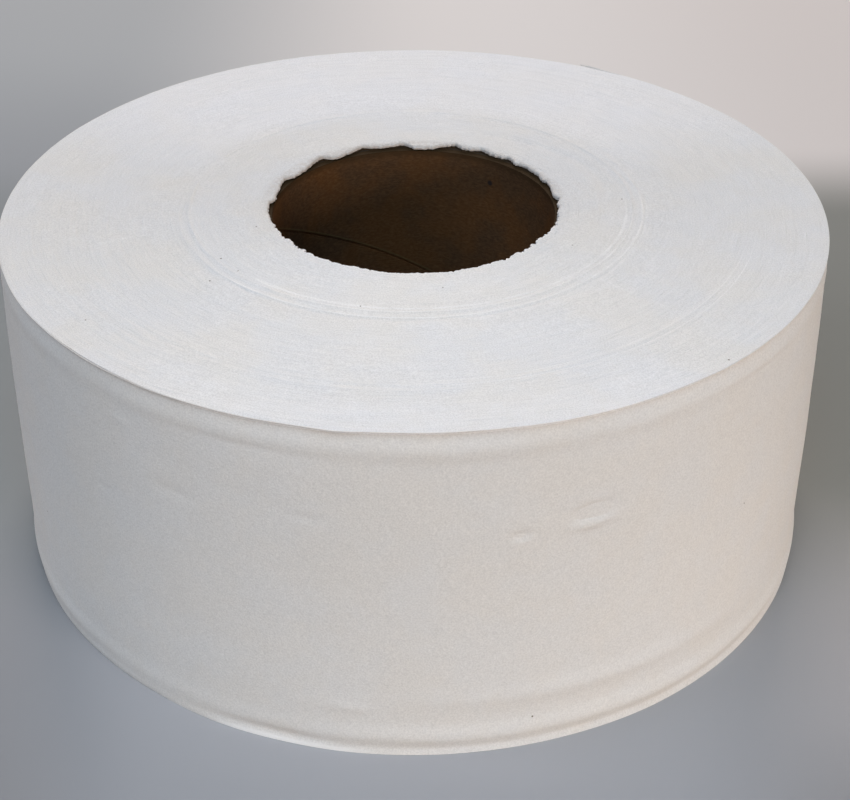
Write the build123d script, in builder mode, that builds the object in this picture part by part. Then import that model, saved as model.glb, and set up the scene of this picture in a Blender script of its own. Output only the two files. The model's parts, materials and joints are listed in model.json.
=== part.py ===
from build123d import *

import os
from math import cos, pi, radians, sin, sqrt

# A jumbo toilet roll: one long two-ply tissue web wound on a spiral-wound board core.
# Millimetres, +Z up. The origin is the centre of the end face that the roll stands on.
# The roll is seen from its -Y side, so +Y is its back.

# The web
roll_diameter = 220.0
web_width = 95.0
tail_step = 0.4  # the web's thickness at its loose end, two plies and their air
tail_angle = 62.0  # where that end lies, from +X, at the back of the roll

# The bead crimped into the outer turns near each cut end, between two creases
top_crease = 2.0  # from the cut end to the first crease
top_bead = 6.4
top_fade = 4.0  # from the second crease to the plain turns
base_crease = 3.3
base_bead = 8.2
base_fade = 12.0
base_tuck = 0.5  # how far the lower edge is drawn in
bead_depth = 0.25
plain_rim = 4.0  # the outer turns, which have no ring on the cut ends

# The rings that the turns leave on the cut ends, in groups: where each group starts, as a share of
# the way from the fringe to the plain rim, and its number of rings
top_ring_shares = (0.16, 0.455, 0.76)
top_ring_counts = (3, 1, 2)
base_ring_shares = (0.3, 0.7)
base_ring_counts = (1, 1)
ring_pitch = 1.4
ring_depth = 0.45

# The torn fringe of tissue that laps over each end of the core
lip_depth = 1.2
lip_width = 5.0
lip_droop = 0.6
tuft_clearance = 0.1  # from the tip of a tuft to the bore
front_tuft = 8.5  # degrees of the hole that one tuft takes at the front
back_tuft = 19.0
tear_slope = 0.075  # depth of the notch beside a tuft, for each degree of the tuft

# The core
core_bore = 76.0
core_wall = 2.0
board_strip = 110.0  # width of the strip that the inner ply is wound from
seam_gap = 0.8  # between one turn of that strip and the next
seam_depth = 0.3
seam_start = -75.0  # where the seam meets the roll's base, from +X

# Worked out from the sizes above
roll_radius = roll_diameter / 2
bore_radius = core_bore / 2
core_radius = bore_radius + core_wall
core_length = web_width - 2 * lip_depth
bore_girth = pi * core_bore
seam_pitch = board_strip * bore_girth / sqrt(bore_girth**2 - board_strip**2)

os.makedirs("parts", exist_ok=True)


def polar(radius, angle):
    """The point at a radius and an angle in degrees from +X."""
    return (radius * cos(radians(angle)), radius * sin(radians(angle)))


def end_line(end, inward, shares, counts):
    """One cut end from the axis outward: the fringe droops into the hole, then rings and flat turns."""
    fringe = core_radius + lip_width
    droop = end + inward * lip_droop
    points = [(0, droop), (bore_radius, droop), (fringe, end)]
    for share, count in zip(shares, counts):
        first = fringe + share * (roll_radius - 2 * plain_rim - fringe)
        points.append((first, end))
        for ring in range(count):
            points.append((first + (ring + 0.5) * ring_pitch, end + inward * ring_depth))
            points.append((first + (ring + 1) * ring_pitch, end))
    return points


def crimped_edge(radius, end, crease, bead):
    """The outer turns near one cut end: from the rim to a crease, and a bead to the next crease."""
    first_crease = (radius - bead_depth, crease)
    second_crease = (radius - bead_depth, bead)
    Line((radius, end), first_crease)
    ThreePointArc(first_crease, (radius, (crease + bead) / 2), second_crease)
    return second_crease


def outer_turns(radius, angle, centre):
    """The upright section of the outer turns, drawn outward from a centre at an angle."""
    inner = roll_radius - 2 * plain_rim
    base = radius - base_tuck
    plain = radius - bead_depth / 2
    low_crease = base_crease + base_bead
    high_crease = web_width - top_crease - top_bead
    outward = (cos(radians(angle)), sin(radians(angle)), 0)
    across = (sin(radians(angle)), -cos(radians(angle)), 0)
    with BuildSketch(Plane(origin=centre, x_dir=outward, z_dir=across)) as section:
        with BuildLine():
            low = crimped_edge(base, 0, base_crease, low_crease)
            high = crimped_edge(radius, web_width, web_width - top_crease, high_crease)
            Polyline(low, (plain, low_crease + base_fade), (plain, high_crease - top_fade), high)
            Polyline((radius, web_width), (inner, web_width), (inner, 0), (base, 0))
        make_face()
    return section.sketch


def torn_hole(plane):
    """The ragged hole in a fringe: tufts bulge inward between notches, and the back ones are long."""
    tufts = []
    while sum(tufts) < 360:
        backward = (1 + sin(radians(sum(tufts)))) / 2
        uneven = 1 + 0.2 * sin(5 * len(tufts))
        tufts.append(uneven * (front_tuft + (back_tuft - front_tuft) * backward))
    closing = 360 / sum(tufts)
    tip = bore_radius + tuft_clearance
    with BuildSketch(plane) as hole:
        with BuildLine():
            for index, tuft in enumerate(tufts):
                start = closing * sum(tufts[:index])
                following = tufts[(index + 1) % len(tufts)]
                ThreePointArc(
                    polar(tip + tear_slope * tuft, start),
                    polar(tip, start + closing * tuft / 2),
                    polar(tip + tear_slope * following, start + closing * tuft),
                )
        make_face()
    return hole.sketch


# The web, all its turns as one solid: the ringed ends first, then the outer turns as two half
# rounds whose centres lie half a step apart, so that they meet flush on one side of the roll
# and leave the step of the loose end on the other.
tail_x, tail_y = polar(tail_step / 2, tail_angle)
with BuildPart() as paper_winding:
    with BuildSketch(Plane.XZ):
        with BuildLine():
            Polyline(
                *end_line(web_width, -1, top_ring_shares, top_ring_counts),
                (roll_radius - plain_rim, web_width),
                (roll_radius - plain_rim, 0),
                *reversed(end_line(0, 1, base_ring_shares, base_ring_counts)),
                close=True,
            )
        make_face()
    revolve(axis=Axis.Z)
    revolve(outer_turns(roll_radius - tail_step, tail_angle, (0, 0, 0)), Axis.Z, 180)
    revolve(
        outer_turns(roll_radius - tail_step / 2, tail_angle + 180, (tail_x, tail_y, 0)),
        Axis((tail_x, tail_y, 0), (0, 0, 1)),
        180,
    )
    with BuildSketch(Plane.XY.offset(lip_depth)):
        Circle(core_radius)
    extrude(amount=core_length, mode=Mode.SUBTRACT)
    extrude(torn_hole(Plane.XY.rotated((0, 0, 180))), lip_depth, mode=Mode.SUBTRACT)
    extrude(torn_hole(Plane.XY.offset(web_width - lip_depth)), lip_depth, mode=Mode.SUBTRACT)
paper_winding.part.label = "paper_winding"
export_step(paper_winding.part, "parts/paper_winding.step")

# The core: laminated board plies as one tube, with the helical gap between neighbouring turns of
# the innermost strip cut into its bore. The gap starts and ends past the tube's cut ends.
run_out = seam_gap
run_out_angle = seam_start + 360 * (lip_depth - run_out) / seam_pitch
with BuildPart() as core_tube:
    with BuildSketch(Plane.XY.offset(lip_depth)):
        Circle(core_radius)
        Circle(bore_radius, mode=Mode.SUBTRACT)
    extrude(amount=core_length)
    seam = Helix(seam_pitch, core_length + 2 * run_out, bore_radius, mode=Mode.PRIVATE)
    seam = seam.rotate(Axis.Z, run_out_angle).moved(Location((0, 0, lip_depth - run_out)))
    with BuildSketch(Plane(origin=seam @ 0, x_dir=(*polar(1, run_out_angle), 0), z_dir=seam % 0)):
        Rectangle(2 * seam_depth, seam_gap)
    sweep(path=seam, is_frenet=True, mode=Mode.SUBTRACT)
core_tube.part.label = "core_tube"
export_step(core_tube.part, "parts/core_tube.step")
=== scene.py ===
import json
import math
from functools import lru_cache

import bmesh
import bpy
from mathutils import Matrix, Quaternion, Vector, noise


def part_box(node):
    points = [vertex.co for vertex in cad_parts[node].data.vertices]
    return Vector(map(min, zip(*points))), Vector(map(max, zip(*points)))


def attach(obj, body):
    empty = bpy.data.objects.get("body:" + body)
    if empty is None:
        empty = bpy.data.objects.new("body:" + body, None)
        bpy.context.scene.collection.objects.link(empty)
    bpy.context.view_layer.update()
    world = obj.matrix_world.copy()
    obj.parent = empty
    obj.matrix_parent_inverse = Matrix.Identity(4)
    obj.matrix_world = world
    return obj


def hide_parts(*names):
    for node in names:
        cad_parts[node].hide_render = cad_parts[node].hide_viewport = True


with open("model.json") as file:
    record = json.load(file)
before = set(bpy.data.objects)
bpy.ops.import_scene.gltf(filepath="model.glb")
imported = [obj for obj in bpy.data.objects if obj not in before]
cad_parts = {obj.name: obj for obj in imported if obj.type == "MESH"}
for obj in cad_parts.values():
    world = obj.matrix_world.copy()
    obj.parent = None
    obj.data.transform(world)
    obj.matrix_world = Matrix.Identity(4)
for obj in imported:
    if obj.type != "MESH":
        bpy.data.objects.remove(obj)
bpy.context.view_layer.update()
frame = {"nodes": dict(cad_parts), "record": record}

# The looks of a jumbo toilet roll: a two-ply tissue web wound on a spiral-wound board core.
# The lists below are in millimetres and degrees, and Blender's own lengths in metres. An angle is
# measured round the roll from its front, -Y, and grows towards its right, +X.

mm = 0.001

# The roll's sizes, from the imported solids
web_low, web_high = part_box("paper_winding")
board_low, board_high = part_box("core_tube")
mounts = {mount["name"]: mount for mount in frame["record"]["mounts"]}
width = (web_high.z - web_low.z) / mm
mean_radius = (web_high.x - web_low.x + web_high.y - web_low.y) / 4 / mm
core_radius = board_high.x / mm
bore_radius = mounts["core_bore"]["dims"]["r_mm"]
core_top = board_high.z / mm
core_base = board_low.z / mm

# The last turn of the web
web_thickness = 0.22  # two creped plies
tail_step = 0.4  # how much one turn adds to the radius
tail_angle = 152.0  # where the loose end lies
tail_overlap = 6.0  # how far it laps over the start of its own turn
tail_lift = 0.3
corner_lift = 0.8
oval = 0.007  # the roll has settled into a slight oval, longer from front to back
swell = 0.0028
loosened = 92.0  # the turns outside this radius
outer_growth = 0.6  # lie this much further out,
outer_shift = 0.95  # this much nearer the back,
outer_oval = 0.4  # and are this much wider from side to side
nest_gap = 0.02  # the least gap between the last turn and the one under it
rim_turns = 93.0  # the turns outside this radius follow the last one's beads and dents
loose_rim = (-42.0, 6.0, 0.3)  # where the last turn stands off at the rim: angle, half span, gap

# The beads crimped into the outer turns near the cut ends: height, and how far the web stands out
crimped_section = (
    (0.0, -0.14),
    (0.4, -0.16),
    (1.6, -0.70),
    (5.8, 0.68),
    (10.4, -0.12),
    (24.0, 0.0),
    (82.0, 0.0),
    (86.0, -0.08),
    (89.2, 0.10),
    (94.2, -0.76),
    (95.0, -0.80),
)
# How firmly they are crimped at each angle, at the base and at the top
base_firmness = (
    (-180, 0.5), (-66, 0.5), (-50, 0.32), (-40, 0.2), (-15, 0.26), (0, 0.7), (20, 1.0), (32, 1.0),
    (45, 0.75), (60, 0.75), (90, 0.5), (180, 0.5),
)
top_firmness = (
    (-180, 0.5), (-56, 0.55), (-42, 0.45), (-30, 0.65), (-20, 0.95), (-10, 0.9), (4, 1.25),
    (18, 1.0), (30, 1.1), (50, 0.95), (62, 0.7), (90, 0.5), (180, 0.5),
)
slack = 0.12  # how far the last turn lies inside its plain spiral
# Where its base leans in: the middle angle, half span and depth
base_leans = ((-42, 14, 0.3), (48, 22, -0.32), (-20, 5, 0.2))
lean_top, lean_height = 24.0, 20.0
tucked_edge = (-62, 30, 0.45)  # where the lowest edge is turned under: angle, half span, depth
tucked_height = 1.4
narrowed = 0.35  # how far its top is drawn in, all round
narrowed_from, narrowed_height = 62.0, 26.0
# Where the last turn's rim flares out: the middle angle and half span
rim_flares = ((-62, 5), (-27, 18), (20, 7), (43, 4))
flare, flare_from, flare_height = 0.14, 94.2, 0.8

# Dents and creases in the last turn: angle, height, half width in degrees and in millimetres,
# slant in millimetres for each degree, and depth
pressed_marks = (
    (21.9, 68.4, 2.1, 1.6, 0.2, 1.2),
    (22.2, 65.1, 2.3, 1.2, 0.18, -0.66),
    (12.8, 65.2, 1.2, 1.1, 0.1, 0.6),
    (12.8, 63.3, 1.1, 0.9, 0.1, -0.16),
    (20, 63.2, 1.2, 0.8, 0.1, 0.14),
    (7.2, 71, 1.2, 1.2, 0.1, 0.16),
    (-13.2, 70.3, 1.8, 0.8, 0, 0.24),
    (-31, 68.7, 3.2, 1.7, 0, 0.24),
    (-43, 60, 0.9, 1, 0, 0.2),
    (-38.8, 82.7, 1.6, 0.8, 0, -0.16),
    (-8.4, 14.8, 2.6, 1.5, 0, -0.32),
    (50, 87.8, 9, 0.7, -0.03, 0.2),
    (45, 78.4, 6, 0.8, -0.25, 0.12),
    (26, 17, 20, 2.7, 0, -0.66),
    (-18, 2.5, 7, 1.5, 0, 0.75),
    (-9, 95.2, 2.3, 1, 0, -0.45),
    (-21, 87.2, 8, 0.9, 0, 0.13),
    (112, 52, 3, 2.2, 0.1, 0.32),
    (-128, 41, 2.4, 2, -0.1, 0.28),
    (-160, 71, 3.4, 1.6, 0, 0.24),
)

# Rings that the turns leave on the cut ends: radius, height, half width, middle angle, half span
top_rings = (
    (47.9, 0.09, 0.8, 37, 14),
    (51.7, 0.07, 0.8, 14, 16),
    (55.1, 0.05, 0.5, -30, 22),
    (57.3, 0.24, 0.5, 0, 180),
    (60.0, 0.13, 0.45, 20, 120),
    (61.0, -0.14, 0.45, -10, 130),
    (65.3, -0.06, 1.2, 22, 22),
    (89.1, 0.14, 0.5, 8, 60),
    (91.3, 0.13, 0.45, 5, 60),
)
base_rings = (
    (61.6, 0.08, 0.9, 60, 180),
    (62.8, -0.18, 0.9, 60, 180),
    (84.6, 0.05, 0.8, -90, 120),
    (85.6, -0.14, 0.9, -90, 120),
)
ring_shift = 2.2  # how far the inner rings run off centre, towards the back
ring_skew = 0.0145  # how far all of them run towards the left, as a share of their radius
# Where they are pushed off their circle: angle, shift and half width in degrees
ring_kinks = ((-47, -0.4, 2.5), (-40, 0.35, 2.5), (0, 0.3, 4.0), (17, -0.25, 3.0))

# A long shallow dip to the right of the hole, which bulges outward near its middle
dip_angle, dip_half_span = 94.5, 58.5
dip_radius, dip_bulge, dip_middle, dip_bulge_span = 49.3, 5.0, 113.0, 26.0
dip_half_width, dip_depth = 1.5, 0.34

# The torn fringe round the hole
lip_width = 4.6
lip_drop = 0.35
lip_roll, lip_roll_drop = 0.9, 0.4  # the soft roll-over at the torn edge
front_curl = 0.1  # how far its edge curls up at the front
lap_height = 0.4  # how far the underside of the lap lies above the board's end
lap_overhang = 0.12  # how far the torn edge stands over the turns under it
lip_radius = core_radius + lip_width  # where the fringe begins
tip_radius = bore_radius + 0.4  # where its edge would lie if it weren't torn
lap_top, lap_base = core_top + lap_height, core_base - lap_height
crevice_shade_radius = 43.6  # inside this radius the turns' faces under the lap take the board end's dark colour as painted shade
crown = 0.5  # at the top the turns next to the core stand this much above the rest
crown_radius, crown_run = 80.0, 36.0  # it starts to rise inside this radius, over this distance
base_hollow = 0.22  # the lower end stands on its rim, and its other turns are this much higher
rim_run = 6.0  # how far from the rim the cut ends start to wave
front_edge, side_edge = 37.45, 38.9  # the radius of the torn edge at the front and at the sides
# Tufts that reach further into the hole: angle, change of radius, half width in degrees
front_tufts = ((-22, -0.7, 6.0), (22, -0.5, 2.4), (41, -0.3, 4.0), (59, -0.7, 2.0), (83, -0.4, 1.5))
notch_softness = 0.9  # degrees over which a notch is rounded
# At the back the tufts are long: the radius at each notch, and at the tip of the tuft beside it
torn_back = (
    (89, 39.0), (92, 38.7), (97, 39.7), (100, 38.5), (112, 39.9), (116, 39.1), (121, 40.1),
    (124, 39.7), (129, 40.6), (133, 39.5), (139, 41.0), (143, 39.8), (152, 41.2), (158, 40.0),
    (164, 41.9), (178, 37.5), (184, 41.0), (191, 39.5), (201, 41.3), (216, 38.0), (219, 41.1),
    (238, 37.9), (244, 39.7), (262, 37.9), (266, 39.1), (271, 38.9),
)

# Light streaks on the top end, where something has brushed the turns: the angle and radius of
# both ends, half width and strength
streaks = (
    ((48.6, 49), (48.6, 108), 0.5, 0.5),
    ((-17.5, 96), (-16.5, 108), 0.6, 0.8),
    ((-40, 62), (-36, 88), 1.2, 0.5),
    ((-76.5, 75), (-75.5, 84), 1.0, 0.6),
    ((0, 82), (1.5, 100), 2.4, 0.5),
    ((17, 92), (14, 108), 1.2, 0.6),
    ((-6, 71.5), (23, 60.5), 0.6, 0.6),
    ((0, 54.5), (24, 48), 0.7, 0.7),
    ((24, 48), (47, 44), 0.7, 0.7),
    ((-21, 69), (-12, 70.5), 0.5, 0.9),
    ((-12, 70.5), (-3, 74.5), 0.5, 0.9),
)
# Painted highlights and painted shade along the rings on the top end, in front and to the right of the
# hole: radius, half width, and a reach that is 1 for an arc at the very front and smaller for a longer one
ring_highlight_arcs = (
    (55.6, 0.7, 0.62),
    (57.3, 0.3, 0.74),
    (60.0, 0.45, 0.55),
    (88.2, 0.25, 0.92),
    (90.3, 0.25, 0.9),
)
ring_shade_arcs = (
    (54.2, 0.5, 0.9),
    (58.6, 0.4, 0.7),
    (61.1, 0.35, 0.6),
    (62.2, 0.3, 0.8),
    (89.2, 0.3, 0.9),
)
right_arc_share = 0.5  # how strong the painted highlights still are on the right, where the painted shade shows
# Specks of bark in the pulp: angle, radius or height, and size
top_specks = (
    (-58.5, 57.5, 0.32), (-50.9, 65.5, 0.34), (-50.4, 57.3, 0.26), (-72.9, 43.2, 0.3),
    (9.0, 45.8, 0.25), (60.3, 47.0, 0.25), (93.6, 56.3, 0.28), (-52.7, 99.2, 0.28),
    (42.7, 107.7, 0.34), (-13.5, 55.8, 0.25),
)
side_specks = ((15.2, 9.3, 0.32), (48.0, 50.0, 0.25), (-61.0, 33.0, 0.22), (171.0, 58.0, 0.3))

# The board of the core, with the helical gap between the turns of its inner ply
seam_pitch = 123.94
seam_turn = 0.218  # where the gap meets the roll's base, in turns from +X
seam_gap = 0.8
board_spots = ((145.1, 86.8, 1.1),)

weld = 0.001  # points nearer than this are one


@lru_cache(maxsize=None)
def around(angle):
    """The unit vector that points outward at an angle."""
    turn = math.radians(angle)
    return Vector((math.sin(turn), -math.cos(turn), 0))


def point_at(angle, radius, height=0.0):
    """A point in metres, from its angle, radius and height."""
    return around(angle) * radius * mm + Vector((0, 0, height * mm))


def angle_of(point):
    """The angle at which a point lies."""
    return round(math.degrees(math.atan2(point.x, -point.y)), 3)


def between(angle, other):
    """The signed turn from one angle to another, from -180 to 180."""
    return (angle - other + 180) % 360 - 180


def ease(share):
    """A share from 0 to 1, made to start and end softly."""
    share = min(1, max(0, share))
    return share * share * (3 - 2 * share)


def hump(distance, half_width):
    """1 at the middle of a mark, falling away smoothly on both sides."""
    return math.exp(-((distance / half_width) ** 2))


@lru_cache(maxsize=None)
def window(angle, middle, half_span, fade=15):
    """1 inside a span of angles and 0 outside it."""
    return ease((half_span - abs(between(angle, middle))) / fade + 0.5)


def uneven(seed, x, y=0.0, z=0.0):
    """Smooth noise from -1 to 1."""
    return noise.noise(Vector((x + seed * 17.3, y - seed * 9.1, z + seed * 5.7)))


@lru_cache(maxsize=None)
def uneven_round(seed, angle, lobes, level=0.0):
    """Noise that closes on itself round the roll, with about so many lobes."""
    direction = around(angle) * lobes / 4
    return uneven(seed, direction.x, direction.y, level)


# Forms


def settled(radius, angle):
    """The radius once the roll has settled into its slight oval. The core stays round."""
    front, sides = around(angle).dot(around(0)), -math.cos(math.radians(2 * angle))
    soft = ease((radius - core_radius) / (mean_radius - core_radius))
    outer = ease((radius - loosened) / (mean_radius - loosened))
    return radius * (1 + soft * (swell - oval * sides)) + outer * (
        outer_growth - outer_shift * front + outer_oval * sides
    )


def wound_radius(from_tail):
    """The outside of the web, so many degrees back from its loose end."""
    return mean_radius + tail_step * (0.5 - from_tail / 360)


@lru_cache(maxsize=None)
def rim_flare(angle):
    """How much of the full flare the rim has at an angle."""
    return max(window(angle, middle, half_span, 6) for middle, half_span in rim_flares)


@lru_cache(maxsize=None)
def firmness(angle, points):
    """The value at an angle on a smooth line through some points."""
    for (start, first), (end, second) in zip(points, points[1:]):
        if start <= between(angle, 0) <= end:
            return first + (second - first) * ease((between(angle, 0) - start) / (end - start))
    return points[-1][1]


def crimped(height, angle):
    """How far the last turn stands out at a height, from the beads near its edges."""
    shift = 0.35 * uneven_round(2, angle, 9) + 0.2 * uneven_round(3, angle, 30)
    from_edge = min(height, width - height)
    at = height + shift * ease(from_edge / 3)
    strength = firmness(angle, base_firmness if height < width / 2 else top_firmness)
    strength *= 1 + 0.3 * uneven_round(4, angle, 14)
    offset = -slack - narrowed * ease((height - narrowed_from) / narrowed_height)
    leans = sum(depth * window(angle, middle, half_span, 16) for middle, half_span, depth in base_leans)
    offset -= leans * ease((lean_top - height) / lean_height)
    middle, half_span, depth = tucked_edge
    offset -= depth * window(angle, middle, half_span) * ease((tucked_height - height) / tucked_height)
    offset += flare * rim_flare(angle) * ease((height - flare_from) / flare_height)
    for (low, first), (high, second) in zip(crimped_section, crimped_section[1:]):
        if low <= at <= high:
            share = (1 - math.cos(math.pi * (at - low) / (high - low))) / 2
            return offset + (first + (second - first) * share) * strength
    return offset


def pressed(height, angle):
    """The dents and creases of the last turn."""
    total = 0
    for middle, level, half_turn, half_height, slant, depth in pressed_marks:
        turn = between(angle, middle)
        if abs(turn) < 2.6 * half_turn:
            total -= depth * hump(turn, half_turn) * hump(height - level - slant * turn, half_height)
    return total


@lru_cache(maxsize=None)
def edge_wave(angle):
    """How far the web's upper edge rises and falls."""
    return 0.12 * uneven_round(9, angle, 26) + 0.06 * uneven_round(10, angle, 90)


def web_offset(height, angle):
    """All that moves the last turn in or out of its plain spiral."""
    waves = 0.3 * uneven(5, angle / 28, height / 33) + 0.08 * uneven(6, angle / 7, height / 9)
    waves *= ease(min(height, width - height) / 14)
    return crimped(height, angle) + pressed(height, angle) + waves


def section(corners, across):
    """A closed section in an upright plane. A corner is a radius, a height and the cuts after it."""
    bm = bmesh.new()
    upward = Vector((0, 0, 1))
    points = [bm.verts.new((across * radius + upward * height) * mm) for radius, height, cuts in corners]
    sides = [bm.edges.new(pair) for pair in zip(points, points[1:] + points[:1])]
    for side, (radius, height, cuts) in zip(sides, corners):
        if cuts:
            bmesh.ops.subdivide_edges(bm, edges=[side], cuts=cuts)
    return bm


def carry(bm, stretches, steps, turn=0.0, length=0.0):
    """Carries the section through one short stretch, round the axis or along X, and repeats that."""
    turn = math.radians(turn) / stretches
    length = length * mm / stretches
    way = {"axis": (0, 0, 1), "cent": (0, 0, 0)}
    start = bm.verts[:] + bm.edges[:]
    bmesh.ops.spin(bm, geom=start, angle=turn, dvec=(length / steps, 0, 0), steps=steps, **way)
    stretch = bm.verts[:] + bm.edges[:] + bm.faces[:]
    repeats = stretches - 1
    way.update(dvec=(length, 0, 0), use_duplicate=True)
    bmesh.ops.spin(bm, geom=stretch, angle=turn * repeats, steps=repeats, **way)
    bmesh.ops.remove_doubles(bm, verts=bm.verts, dist=weld * mm)


def finish_piece(name, bm, material, replaced, sharp=50):
    """Makes the mesh an object that rides with the roll and stands for a solid of the frame."""
    bmesh.ops.recalc_face_normals(bm, faces=bm.faces)
    mesh = bpy.data.meshes.new(name)
    bm.to_mesh(mesh)
    bm.free()
    mesh.polygons.foreach_set("use_smooth", [True] * len(mesh.polygons))
    mesh.set_sharp_from_angle(angle=math.radians(sharp))
    mesh.materials.append(material)
    piece = bpy.data.objects.new(name, mesh)
    bpy.context.scene.collection.objects.link(piece)
    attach(piece, "root")
    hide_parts(replaced)
    return piece


def make_outer_turn(material):
    """The last turn of the web: a long thin sheet, wound once round with its loose end at the back."""
    sheet_length = math.radians(360 + tail_overlap) * mean_radius
    bm = section(
        (
            (0, 0, 34),
            (0, 27, 17),
            (0, 56, 22),
            (0, 76, 6),
            (0, 83, 20),
            (0, width, 1),
            (-web_thickness, width, 10),
            (-web_thickness, 80, 12),
            (-web_thickness, 20, 8),
            (-web_thickness, 0, 1),
        ),
        Vector((0, 1, 0)),
    )
    carry(bm, 35, 20, length=sheet_length)
    bmesh.ops.holes_fill(bm, edges=[edge for edge in bm.edges if edge.is_boundary])
    for vert in bm.verts:
        from_tail = round(math.degrees(vert.co.x / mm / mean_radius), 3)
        depth = vert.co.y / mm
        height = vert.co.z / mm
        angle = tail_angle - from_tail
        near_tail = ease(1 - from_tail / tail_overlap)
        at_corner = ease(1 - min(height, width - height) / 14)
        lift = near_tail * (tail_lift * (1 + uneven(7, height / 12)) + corner_lift * at_corner)
        radius = wound_radius(from_tail) + depth + lift + web_offset(height, angle)
        angle += near_tail * 0.25 * uneven(8, height / 5)
        height += edge_wave(angle) * ease((height - 88) / 7)
        height += 0.06 * ease((5 - height) / 5) * (1 + edge_wave(angle) / 0.2)
        vert.co = (around(angle) * settled(radius, angle) + Vector((0, 0, height))) * mm
    return finish_piece("outer_turn", bm, material, "paper_winding")


@lru_cache(maxsize=None)
def ring_kink(angle):
    """How far the outer rings are pushed off their circle."""
    return sum(shift * hump(between(angle, at), half_width) for at, shift, half_width in ring_kinks)


def ring_relief(radius, angle, rings):
    """The height of the rings on a cut end."""
    off_centre = ring_shift * (1 - math.cos(math.radians(angle))) * ease((85 - radius) / 25)
    off_centre -= ring_skew * radius * math.sin(math.radians(angle))
    off_centre += ring_kink(angle) * ease((radius - 70) / 12) + 0.12 * uneven_round(11, angle, 12)
    total = 0
    for at, height, half_width, middle, half_span in rings:
        distance = radius - at - off_centre
        if abs(distance) < 2.5 * half_width:
            total += height * hump(distance, half_width) * window(angle, middle, half_span, 40)
    return total


def end_relief(radius, angle, rings, seed):
    """The height of a cut end over its plain plane: rings and slow waves, and a low crown on top."""
    across = around(angle) * radius
    waves = 0.22 * uneven(seed, across.x / 34, across.y / 34)
    waves += 0.05 * uneven(seed + 1, across.x / 9, across.y / 9)
    from_rim = ease((mean_radius - radius) / rim_run)
    relief = ring_relief(radius, angle, rings) + waves * from_rim
    if rings is base_rings:
        return relief - base_hollow * from_rim
    dip_line = dip_radius + dip_bulge * hump(between(angle, dip_middle), dip_bulge_span)
    dip = dip_depth * hump(radius - dip_line, dip_half_width) * window(angle, dip_angle, dip_half_span, 30)
    return relief + crown * ease((crown_radius - radius) / crown_run) - dip


@lru_cache(maxsize=None)
def tuft_line(angle):
    """The radius of the fringe's edge, from its notches and tufts."""
    around_back = angle % 360
    edge = side_edge - (side_edge - front_edge) * math.cos(math.radians(angle))
    edge += sum(depth * hump(between(angle, at), half) for at, depth, half in front_tufts)
    for (start, first), (end, second) in zip(torn_back, torn_back[1:]):
        if start <= around_back <= end:
            share = math.radians(90 * (around_back - start) / (end - start))
            if first > second:
                edge = first + (second - first) * math.sin(share)
            else:
                edge = first + (second - first) * (1 - math.cos(share))
    return edge


@lru_cache(maxsize=None)
def torn_edge(angle, seed):
    """The radius of the ragged hole in the fringe."""
    nearby = (angle - notch_softness, angle, angle + notch_softness)
    edge = sum(tuft_line(at) for at in nearby) / len(nearby)
    jags = 0.45 * uneven_round(seed, angle, 100) + 0.42 * uneven_round(seed + 1, angle, 240)
    return edge + jags * (1 + 1.1 * window(angle, 0, 75, 30))


def outward_under_last_turn(height, angle):
    """How far the turn under the last one lies outside the plain section."""
    from_tail = (tail_angle - angle) % 360
    lapped = ease(1.5 - from_tail / tail_overlap)
    middle, half_span, gap = loose_rim
    gap *= window(angle, middle, half_span, 20) if height > width / 2 else 0
    return wound_radius(from_tail + 360 * lapped) - mean_radius - gap - nest_gap + web_offset(height, angle)


def wound_place(radius, height, angle):
    """Where a point of the plain section lies on the real winding, at one end or in between."""
    top = height > width / 2
    rings, seed, outward = (top_rings, 12, 1) if top else (base_rings, 20, -1)
    from_end = min(height, width - height)
    if from_end < 0.6 and radius >= lip_radius - 0.01:
        level = end_relief(radius, angle, rings, seed)
        outer = ease((radius - rim_turns) / (mean_radius - web_thickness - rim_turns))
        if top:
            level += edge_wave(angle) * outer
        return radius + outer * outward_under_last_turn(height, angle), height + outward * level
    if radius > mean_radius - 3:
        return radius + outward_under_last_turn(height, angle), height
    return radius, height


def make_wound_turns(material):
    """All the turns under the last one, as they show on both cut ends, with the torn fringe."""
    rim = mean_radius - web_thickness
    under = core_radius + 0.1
    bm = section(
        (
            (tip_radius, width - lip_drop, 4),
            (tip_radius + lip_roll, width, 8),
            (lip_radius, width, 9),
            (55, width, 21),
            (62.6, width, 11),
            (87.4, width, 13),
            (92.2, width, 9),
            (rim, width, 1),
            (rim, width - 3, 0),
            (rim - 0.8, width - 6, 1),
            (rim - 0.8, 6.4, 0),
            (rim, 3.5, 1),
            (rim, 0, 5),
            (92, 0, 0),
            (88, 0, 6),
            (82, 0, 3),
            (66, 0, 7),
            (60, 0, 5),
            (lip_radius, 0, 4),
            (tip_radius + lip_roll, 0, 1),
            (tip_radius, lip_drop, 0),
            (tip_radius, lap_base, 0),
            (under, lap_base, 0),
            (under, core_base + 0.2, 0),
            (core_radius, core_base + 0.2, 0),
            (core_radius, core_top - 0.2, 0),
            (under, core_top - 0.2, 0),
            (under, lap_top, 0),
            (tip_radius, lap_top, 0),
        ),
        around(tail_angle),
    )
    carry(bm, 36, 20, turn=360)
    torn = bm.verts.layers.float.new("torn")
    for vert in bm.verts:
        radius = vert.co.xy.length / mm
        height = vert.co.z / mm
        angle = angle_of(vert.co)
        from_end = min(height, width - height)
        if radius < lip_radius - 0.01 and from_end < width - core_top + 0.3:
            radius, height = fringe_place(radius, height, angle)
            if height > width / 2:
                vert[torn] = ease((torn_edge(angle, 16) + 1.1 - radius) / 0.9)
        else:
            radius, height = wound_place(radius, height, angle)
        vert.co = (around(angle) * settled(radius, angle) + Vector((0, 0, height))) * mm
    return finish_piece("wound_turns", bm, material, "paper_winding")


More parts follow.
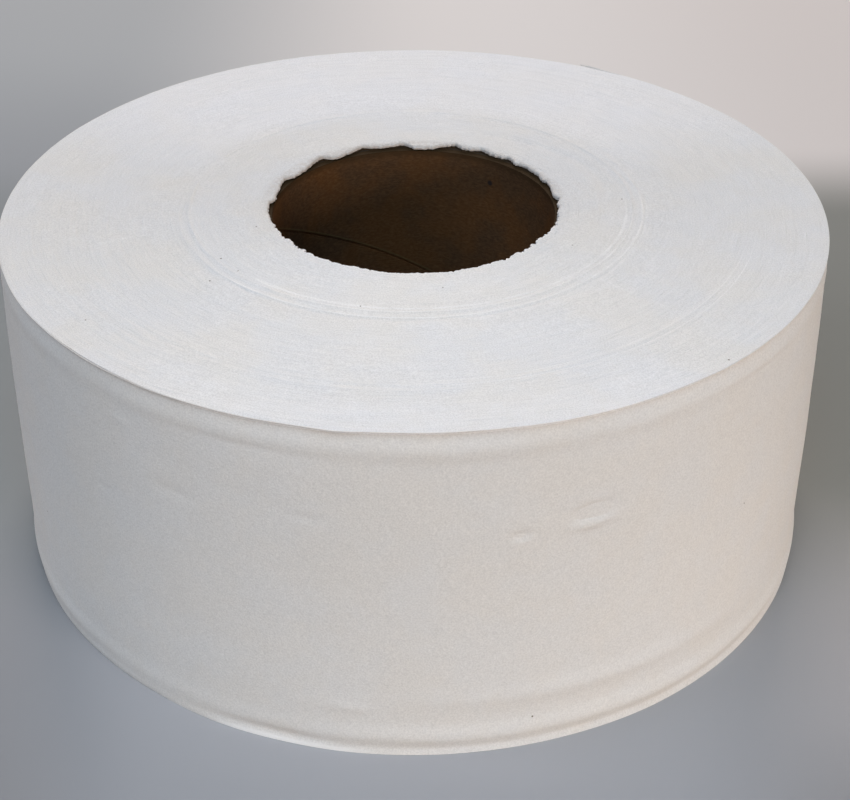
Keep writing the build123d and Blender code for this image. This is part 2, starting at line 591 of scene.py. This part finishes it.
def fringe_place(radius, height, angle):
    """Where a point of the plain fringe lies on the torn one."""
    top = height > width / 2
    rings, seed, end, outward = (top_rings, 12, width, 1) if top else (base_rings, 20, 0, -1)
    edge = torn_edge(angle if top else 200 - angle, seed + 4)
    if abs(height - end) < lip_drop + 0.05:
        along = (lip_radius - radius) / (lip_radius - tip_radius)
        rolled = min(1, max(0, 1 - (radius - tip_radius) / lip_roll))
        radius = lip_radius - along * (lip_radius - edge)
        fluff = 0.12 * uneven(seed + 6, angle / 2.5, radius / 0.9)
        fluff += 0.08 * uneven(seed + 7, angle, radius / 0.4)
        front = window(angle, 0, 68, 40)
        curl = 0.2 * uneven_round(seed + 8, angle, 34) * along**3 + front_curl * front * along**5
        drop = lip_drop * along**2 * (1 - 0.5 * front)
        drop += lip_roll_drop * (1 - math.sqrt(1 - rolled ** (2 + 4 * front)))
        drop += 0.3 * max(0, bore_radius - radius)
        level = end_relief(radius, angle, rings, seed) - drop + fluff * along + curl
        return radius, end + outward * max(level, lap_top + 0.08 - width)
    if radius < tip_radius + 0.01:
        return edge + 0.15, height
    if radius < core_radius + 0.05:
        return radius, height
    return max(radius, edge + lap_overhang), height


# Finishes


class Value:
    """A number or a vector in a finish. Arithmetic on it adds Math nodes."""

    def __init__(self, finish, socket):
        self.finish = finish
        self.socket = socket

    def __add__(self, other):
        return self.finish.maths("ADD", self, other)

    def __radd__(self, other):
        return self.finish.maths("ADD", other, self)

    def __sub__(self, other):
        return self.finish.maths("SUBTRACT", self, other)

    def __rsub__(self, other):
        return self.finish.maths("SUBTRACT", other, self)

    def __mul__(self, other):
        return self.finish.maths("MULTIPLY", self, other)

    def __rmul__(self, other):
        return self.finish.maths("MULTIPLY", other, self)

    def __truediv__(self, other):
        return self.finish.maths("DIVIDE", self, other)


class Finish:
    """One material: its shader, and the nodes that vary it over the surface."""

    def __init__(self, name, constants):
        self.material = bpy.data.materials.new(name)
        self.material.use_nodes = True
        self.tree = self.material.node_tree
        self.shader = self.tree.nodes["Principled BSDF"]
        for socket, value in constants.items():
            self.shader.inputs[socket].default_value = value
        self.place = self.node("ShaderNodeTexCoord", output="Object")
        parts = self.node("ShaderNodeSeparateXYZ", inputs={0: self.place})
        self.x, self.y, self.z = (Value(self, parts.socket.node.outputs[axis]) for axis in range(3))
        self.radius = self.maths("SQRT", self.x * self.x + self.y * self.y)
        self.sideways = self.x / self.radius
        self.backward = self.y / self.radius
        self.turn_radius = self.radius + self.x * ring_skew

    def node(self, kind, settings=(), inputs=(), output=0):
        node = self.tree.nodes.new(kind)
        for name, value in dict(settings).items():
            setattr(node, name, value)
        for socket, value in dict(inputs).items():
            if isinstance(value, Value):
                self.tree.links.new(value.socket, node.inputs[socket])
            else:
                node.inputs[socket].default_value = value
        return Value(self, node.outputs[output])

    def maths(self, operation, *values):
        return self.node("ShaderNodeMath", {"operation": operation}, enumerate(values))

    def vector(self, operation, *values, output=0):
        return self.node("ShaderNodeVectorMath", {"operation": operation}, enumerate(values), output)

    def combined(self, x, y, z):
        return self.node("ShaderNodeCombineXYZ", inputs={0: x, 1: y, 2: z})

    def grain(self, scale, detail=2.0, roughness=0.5, where=None, offset=0.0):
        """Noise from 0 to 1. The scale is in lobes for each metre."""
        place = where or self.place
        if offset:
            place = self.vector("ADD", place, (offset, offset * 0.7, -offset))
        inputs = {"Vector": place, "Scale": scale, "Detail": detail, "Roughness": roughness}
        return self.node("ShaderNodeTexNoise", inputs=inputs)

    def span(self, value, low, high, first=0.0, last=1.0):
        """A smooth step: the first number up to the low value, the last from the high one."""
        return self.node(
            "ShaderNodeMapRange",
            {"interpolation_type": "SMOOTHSTEP"},
            enumerate((value, low, high, first, last)),
        )

    def blend(self, share, first, second):
        """A colour between two others."""
        first, second = (
            colour if isinstance(colour, Value) else (*colour, 1.0) for colour in (first, second)
        )
        return self.node("ShaderNodeMix", {"data_type": "RGBA"}, {0: share, 6: first, 7: second}, 2)

    def shaded(self, colour, factor):
        """A colour made lighter or darker."""
        return self.node("ShaderNodeVectorMath", {"operation": "SCALE"}, {0: colour, "Scale": factor})

    def rounds(self, pitch, drift=3.0, detail=2.0, offset=0.0):
        """Noise in rings round the roll's axis, which changes slowly along each ring."""
        across = self.turn_radius / (pitch * mm) + offset
        where = self.combined(across, self.sideways * drift, self.backward * drift)
        return self.grain(1.0, detail, 0.55, where)

    def stroke(self, first, second, half_width):
        """1 along a straight line seen from above, falling to 0 at its sides."""
        length = (second - first).length
        along = (second - first) / length
        flat = self.vector("MULTIPLY", self.place, (1, 1, 0))
        start = self.vector("SUBTRACT", flat, first)
        reach = self.vector("DOT_PRODUCT", start, along, output="Value")
        reach = self.maths("MINIMUM", self.maths("MAXIMUM", reach, 0.0), length)
        nearest = self.node("ShaderNodeVectorMath", {"operation": "SCALE"}, {0: along, "Scale": reach})
        distance = self.vector("DISTANCE", start, nearest, output="Value")
        return self.span(distance, 0.0, half_width, 1.0, 0.0)

    def line_at(self, value, middle, half_width):
        """1 where a value is at the middle, falling to 0 at a distance from it."""
        return self.span(self.maths("ABSOLUTE", value - middle), 0.0, half_width, 1.0, 0.0)

    def spot(self, place, point, size):
        """1 in a small spot, 0 outside it."""
        distance = self.vector("DISTANCE", place, point, output="Value")
        return self.span(distance, 0.4 * size, size, 1.0, 0.0)

    def most(self, values):
        """The highest of several values."""
        total = values[0]
        for value in values[1:]:
            total = self.maths("MAXIMUM", total, value)
        return total

    def relief(self, height, depth, under=None):
        """A bumped normal from a height of 0 to 1, over another one if it is given."""
        inputs = {"Strength": 1.0, "Distance": depth * mm, "Height": height}
        if under:
            inputs["Normal"] = under
        return self.node("ShaderNodeBump", inputs=inputs)

    def wire(self, **values):
        for socket, value in values.items():
            self.tree.links.new(value.socket, self.shader.inputs[socket.replace("_", " ").title()])
        return self.material


# Colours, as plain amounts of red, green and blue light
tissue_white = (0.82, 0.82, 0.81)
tissue_warm = (0.83, 0.815, 0.785)
tissue_shade = (0.76, 0.76, 0.745)
cut_white = (0.915, 0.915, 0.91)
cut_warm = (0.92, 0.91, 0.885)
cut_cool = (0.90, 0.915, 0.935)
# Painted sheen on the top end, behind the hole
back_sheen_blue = (0.925, 0.94, 0.985)
cut_shade = (0.85, 0.85, 0.84)
brushed_white = (0.96, 0.96, 0.96)
sheen_shade = 0.05  # painted shade: how much darker the cut turns are made to the sides and the back than at the front, for the light that their fine grooves catch
# A grey for painted shade on the torn lip at the back
lip_shade_grey = (0.60, 0.565, 0.53)
# A painted highlight along the front rim of the top end
front_rim_highlight = (0.955, 0.965, 0.99)
# A white for painted highlights: the torn edge in front, the rings and the web's cut edges
highlight_white = (0.99, 0.99, 0.985)
board_brown = (0.112, 0.051, 0.018)
board_dark = (0.078, 0.043, 0.022)
board_fibre = (0.148, 0.087, 0.043)
# The board's cut end, darkened past its own dark tone as painted shade under the tissue lip
board_end_shade = (0.042, 0.025, 0.011)
# A lighter tone for a painted highlight along the seam
seam_highlight_tone = (0.17, 0.17, 0.075)
speck_brown = (0.16, 0.13, 0.10)
knot_brown = (0.03, 0.022, 0.02)


def cut_end_finish():
    """The edges of the turns, seen from the end: fine lines round the axis and brushed streaks, with
    painted highlights and shade for the sheen, the rings and the torn lip.
    """
    finish = Finish("cut_turns", {"Roughness": 0.95})
    top = finish.span(finish.z, 0.5 * width * mm, 0.6 * width * mm)
    coarse = finish.rounds(2.6, 4.0)
    fine = finish.rounds(0.8, 7.0, 3.0, 40.0)
    single = finish.rounds(0.4, 11.0, 2.0, 90.0)
    fibres = finish.grain(2600, 3.0, 0.6)
    fluff = finish.grain(950, 3.0, 0.6, offset=0.7) * finish.span(finish.radius, 48 * mm, 40 * mm)
    clouds = finish.grain(45, 3.0, 0.55)
    patches = finish.grain(160, 3.0, 0.6, offset=0.3)
    brushed = finish.most([
        strength * finish.stroke(point_at(*start), point_at(*end), half * mm)
        for start, end, half, strength in streaks
    ]) * top * finish.span(patches, 0.38, 0.62)
    flat = finish.vector("MULTIPLY", finish.place, (1, 1, 0))
    specks = finish.most([
        finish.spot(flat, point_at(at, radius), size * mm)
        for at, radius, size in top_specks
    ])
    lines = finish.span(coarse * 0.5 + fine * 0.5, 0.3, 0.7)
    colour = finish.blend(finish.span(clouds, 0.35, 0.65), cut_cool, cut_warm)
    colour = finish.blend(finish.span(patches, 0.35, 0.75) * 0.35, colour, cut_white)
    colour = finish.blend((1 - lines) * 0.32, colour, cut_shade)
    sideways, backward = finish.sideways, finish.backward
    # Painted shade: the top end darker to the sides and the back than at the front
    colour = finish.blend((sideways * sideways * 2 + backward) * sheen_shade + sheen_shade, colour, (0, 0, 0))

    # Painted sheen: the top end lighter and bluer behind the hole
    back_sheen = finish.span(backward, 0.2, 0.8) * finish.span(finish.radius, 56 * mm, 70 * mm)
    colour = finish.blend(back_sheen * 0.45, colour, back_sheen_blue)
    # Painted highlight: a lighter, bluer band along the rim of the top end in front
    rim_highlight = finish.span(backward, -0.7, -0.95) * finish.span(finish.radius, 95 * mm, 102 * mm)
    colour = finish.blend(rim_highlight * (0.2 + finish.span(patches, 0.2, 0.8) * 0.3) * top, colour, front_rim_highlight)

    torn = finish.node("ShaderNodeAttribute", {"attribute_name": "torn"}, output="Fac")
    # Painted shade: the torn lip at the back greyer where it rolls over into the hole, mottled by the fluff
    back_lip_shade = torn * finish.span(backward, -0.35, 0.2) * finish.span(fluff, 0.15, 0.5, 0.5, 1.0)
    colour = finish.blend(back_lip_shade * 0.6, colour, lip_shade_grey)
    # Painted highlight: the torn edge of the fringe lighter in front
    torn_edge_highlight = finish.span(torn, 0.5, 0.9) * finish.span(backward, -0.2, -0.5)
    colour = finish.blend(torn_edge_highlight * finish.span(fluff, 0.2, 0.5, 0.5, 1.0), colour, highlight_white)

    ring_radius = finish.turn_radius - (backward + 1) * (ring_shift * mm)
    ahead = backward - finish.maths("MAXIMUM", sideways, 0.0) * 0.75
    broken = finish.span(patches, 0.25, 0.55, 0.35, 1.0) * top
    # Painted highlights and painted shade along the rings, in front of the hole
    light, ring_shade = (
        broken * finish.most([
            finish.line_at(ring_radius, at * mm, half * mm) * finish.span(ahead, -reach, -reach - 0.2)
            for at, half, reach in arcs
        ])
        for arcs in (ring_highlight_arcs, ring_shade_arcs)
    )
    arc_share = finish.span(sideways, 0.25, 0.65, 1.0, right_arc_share)
    colour = finish.blend(ring_shade * (1 - arc_share) * 0.9, colour, cut_shade)
    colour = finish.blend(light * arc_share, colour, highlight_white)

    # Painted shade: the fringe at the back greyer next to the hole, mottled by the fluff
    back_fringe_shade = finish.span(backward, -0.1, 0.4) * finish.span(finish.radius, 42.4 * mm, 40.2 * mm) * top
    colour = finish.blend(back_fringe_shade * finish.span(fluff, 0.3, 0.6) * 0.55, colour, lip_shade_grey)
    colour = finish.blend(brushed * fibres, colour, brushed_white)
    mottle = (fibres - 0.5) * 0.6 + (patches - 0.5) * 0.05 + (single - 0.5) * 0.1
    colour = finish.shaded(colour, 1 + mottle)
    colour = finish.blend(specks * top, colour, speck_brown)

    # Painted shade: the turns' faces under the lap, near the core, in the board end's dark colour, for the
    # shade of the crevice there
    under_lap = finish.span(finish.z, (lap_top + 0.04) * mm, (lap_top - 0.02) * mm)
    under_lap *= finish.span(finish.z, (lap_base - 0.04) * mm, (lap_base + 0.02) * mm)
    crevice_shade = under_lap * finish.span(finish.radius, crevice_shade_radius * mm, (crevice_shade_radius - 0.3) * mm)
    colour = finish.blend(crevice_shade, colour, board_end_shade)

    normal = finish.relief(coarse, 0.32)
    normal = finish.relief(fine, 0.22, normal)
    normal = finish.relief(single, 0.11, normal)
    normal = finish.relief(fibres + patches, 0.09, normal)
    normal = finish.relief(fluff, 0.30, normal)
    return finish.wire(base_color=colour, normal=normal)


def web_face_finish():
    """The face of the web: white creped tissue with a fine matte grain, with painted light: lighter towards
    its base and along its cut edges in front.
    """
    finish = Finish("web_face", {"Roughness": 0.95})
    fibres = finish.grain(2200, 4.0, 0.65)
    crepe = finish.grain(1.0, 2.0, 0.5, finish.vector("MULTIPLY", finish.place, (900, 900, 2400)))
    clouds = finish.grain(60, 3.0, 0.6)
    mottle = finish.grain(420, 4.0, 0.6, offset=0.9)
    outside = mean_radius * mm
    even = finish.combined(finish.sideways * outside, finish.backward * outside, finish.z)
    specks = finish.most([
        finish.spot(even, point_at(at, mean_radius, height), size * mm)
        for at, height, size in side_specks
    ])
    colour = finish.blend(finish.span(clouds, 0.3, 0.7), tissue_white, tissue_warm)
    colour = finish.blend((1 - fibres) * 0.15, colour, tissue_shade)
    colour = finish.shaded(colour, 1 + (fibres - 0.5) * 0.5 + (mottle - 0.5) * 0.06)
    # Painted light: the web lighter towards its base and darker towards its top
    colour = finish.shaded(colour, finish.span(finish.z, 8 * mm, 88 * mm, 1.035, 0.95))

    # Painted highlights: the web lighter along its cut edges, at the rim in front and at the base to the
    # left of that
    rim_highlight = finish.span(finish.z, (width - 1.1) * mm, (width - 0.4) * mm)
    rim_highlight *= finish.span(finish.backward - finish.sideways * 0.1, -0.88, -0.96)
    base_highlight = finish.span(finish.z, 1.6 * mm, 0.8 * mm) * finish.span(finish.y, 0.0, -0.02)
    base_highlight *= finish.span(finish.sideways, -0.06, -0.18) * finish.span(finish.sideways, -0.5, -0.38)
    colour = finish.blend((rim_highlight + base_highlight) * 0.8, colour, highlight_white)
    colour = finish.blend(specks, colour, speck_brown)

    normal = finish.relief(crepe, 0.06)
    normal = finish.relief(fibres, 0.06, normal)
    normal = finish.relief(mottle, 0.06, normal)
    return finish.wire(base_color=colour, normal=normal)


def board_finish():
    """Recycled brown board: blotches, short fibres and the knot of a foreign scrap, with painted shade low
    in the bore and under the tissue lip, and a painted highlight along the seam.
    """
    finish = Finish("core_board", {"Roughness": 0.9, "Specular IOR Level": 0.1})
    blotches = finish.grain(70, 3.0, 0.6)
    fibres = finish.grain(1.0, 3.0, 0.6, finish.vector("MULTIPLY", finish.place, (900, 900, 2200)))
    spots = finish.most([
        finish.spot(finish.place, point_at(at, bore_radius, height), size * mm)
        for at, height, size in board_spots
    ])
    gap = seam_gap / seam_pitch
    from_x = finish.maths("ARCTAN2", finish.y, finish.x) / math.tau
    turns = finish.z / (seam_pitch * mm) - from_x - seam_turn
    off_seam = finish.maths("ABSOLUTE", turns - finish.maths("ROUND", turns) + 0.5 * gap)
    seam_highlight = finish.span(off_seam, 0.15 * gap, 0.45 * gap, 1.0, 0.0)
    colour = finish.blend(finish.span(blotches, 0.35, 0.65), board_brown, board_dark)
    colour = finish.blend(finish.span(fibres, 0.35, 0.75) * 0.4, colour, board_fibre)
    colour = finish.shaded(colour, 1 + (fibres - 0.5) * 0.6)
    # Painted shade: the bore darker towards its bottom, where less light reaches
    colour = finish.shaded(colour, finish.span(finish.z, 0.0, 70 * mm, 0.68, 1.0))
    # Painted highlight: a faint lighter line along the seam's groove, which also evens out the shadow in it
    colour = finish.blend(seam_highlight * 0.2, colour, seam_highlight_tone)
    colour = finish.blend(spots, colour, knot_brown)
    # Painted shade: the bore darker in a band just under the tissue lip, and the board's cut end darker
    # than its own tone
    under_lip_shade = finish.span(finish.z, (core_top - 2.4) * mm, (core_top - 0.6) * mm)
    at_end = finish.span(finish.z, (core_top - 0.25) * mm, (core_top - 0.1) * mm)
    colour = finish.blend(under_lip_shade * 0.6, colour, board_end_shade)
    colour = finish.blend(at_end, colour, board_end_shade)
    return finish.wire(base_color=colour, normal=finish.relief(fibres, 0.06))


# Stage, lamps and camera

floor_bounce = (0.42, 0.415, 0.41)  # what the floor sends back onto the roll
# The floor's tones round the roll, as the camera sees them: painted shade beside the roll and at the front
# corners, painted light in front of it, and behind it the backdrop's tones, lighter in the middle and
# darker to the left
shade_beside_left, shade_beside_right = (0.245, 0.267, 0.275), (0.22, 0.228, 0.215)
flank_left, flank_right = (0.338, 0.34, 0.355), (0.45, 0.44, 0.45)
corner_shade = (0.32, 0.32, 0.33)
front_light = (0.48, 0.48, 0.50)
back_left, far_back_left = (0.315, 0.335, 0.36), (0.405, 0.43, 0.45)
back_middle, back_right = (0.73, 0.715, 0.71), (0.655, 0.625, 0.615)
backdrop = (0.72, 0.71, 0.70)

# The photograph's viewing angle
camera_place = (0, -0.43959, 0.31513)
camera_aim = (0.0060, 0.8419, -0.5397)  # the way it looks
camera_roll = 0.12  # degrees
camera_sensor, camera_lens = 36, 77.16  # millimetres


def make_floor():
    """A floor that sends one plain tone back onto the roll. The camera sees it cool near the roll and
    warmer behind it, with painted shade beside the roll and at its front corners and painted light in front
    of it.
    """
    bm = bmesh.new()
    bmesh.ops.create_circle(bm, cap_ends=True, segments=96, radius=6)
    mesh = bpy.data.meshes.new("floor")
    bm.to_mesh(mesh)
    bm.free()
    finish = Finish("floor_finish", {"Roughness": 0.9})
    behind = finish.span(finish.y - finish.x * 0.03 + finish.grain(3, 1.0) * 0.02, 0.185, 0.25)
    # Painted shade beside the roll
    beside_shade = finish.blend(finish.span(finish.x, -0.12, 0.12), shade_beside_left, shade_beside_right)
    outward = finish.maths("ABSOLUTE", finish.x)
    flanks = finish.blend(finish.span(finish.x, -0.05, 0.05), flank_left, flank_right)
    # Painted shade at the front corners
    corners = finish.span(finish.y, -0.09, -0.135) * finish.span(outward, 0.05, 0.1)
    flanks = finish.blend(corners * 0.8, flanks, corner_shade)
    # Painted light in front of the roll
    front = finish.blend(finish.span(outward, 0.115, 0.06), flanks, front_light)
    near = finish.blend(finish.span(finish.y, 0.012, -0.075), beside_shade, front)
    # Behind the roll, the backdrop's tones: painted shade to the left, lighter in the middle
    far_left = finish.blend(finish.span(finish.y, 0.2, 0.36), back_left, far_back_left)
    far_right = finish.blend(finish.span(finish.x, 0.04, 0.2), back_middle, back_right)
    far = finish.blend(finish.span(finish.x, -0.14, 0.02), far_left, far_right)
    seen = finish.blend(behind, near, far)
    seen_by_camera = finish.node("ShaderNodeLightPath")
    mesh.materials.append(finish.wire(base_color=finish.blend(seen_by_camera, floor_bounce, seen)))
    floor = bpy.data.objects.new("floor", mesh)
    bpy.context.scene.collection.objects.link(floor)


def make_lamp(name, place, aim, size, strength, colour):
    """A square soft lamp. Its strength is the watts for each square metre of its face."""
    light = bpy.data.lights.new(name, "AREA")
    light.shape = "SQUARE"
    light.size = size
    light.energy = strength * size * size
    light.color = colour
    lamp = bpy.data.objects.new(name, light)
    lamp.location = place
    lamp.rotation_euler = (Vector(aim) - Vector(place)).to_track_quat("-Z", "Y").to_euler()
    bpy.context.scene.collection.objects.link(lamp)


def make_world():
    """A plain pale backdrop, which only the camera sees."""
    world = bpy.data.worlds.new("studio")
    bpy.context.scene.world = world
    world.use_nodes = True
    tree = world.node_tree
    seen = tree.nodes["Background"]
    seen.inputs["Color"].default_value = (*backdrop, 1)
    path = tree.nodes.new("ShaderNodeLightPath")
    tree.links.new(path.outputs["Is Camera Ray"], seen.inputs["Strength"])


def make_camera():
    """The camera, where the photograph was taken from."""
    camera = bpy.data.cameras.new("camera")
    camera.sensor_width = camera_sensor
    camera.lens = camera_lens
    holder = bpy.data.objects.new("camera", camera)
    bpy.context.scene.collection.objects.link(holder)
    holder.location = camera_place
    holder.rotation_mode = "QUATERNION"
    roll = Quaternion((0, 0, 1), math.radians(camera_roll))
    holder.rotation_quaternion = Vector(camera_aim).to_track_quat("-Z", "Y") @ roll
    bpy.context.scene.camera = holder


cut_turns = cut_end_finish()
web_face = web_face_finish()
make_wound_turns(cut_turns)
make_outer_turn(web_face)

board = board_finish()
core = frame["nodes"]["core_tube"]
core.data.materials.clear()
core.data.materials.append(board)

make_floor()
make_world()
make_lamp("overhead", (0.0, -1.8, 3.0), (0, 0, 0), 2.4, 10.3, (0.73, 0.875, 1.0))
make_lamp("warm_side", (2.2, -2.6, 0.39), (0, 0, 0.05), 1.2, 46.8, (1.0, 0.825, 0.70))
make_lamp("cool_side", (-2.6, -0.6, 2.15), (0, 0, 0.05), 1.8, 8.6, (0.96, 0.935, 1.0))
make_lamp("back_window", (0.0, 3.0, 1.75), (0, 0, 0.05), 2.0, 23.8, (1.0, 0.86, 0.765))
make_camera()

bpy.context.scene.view_settings.view_transform = "Standard"
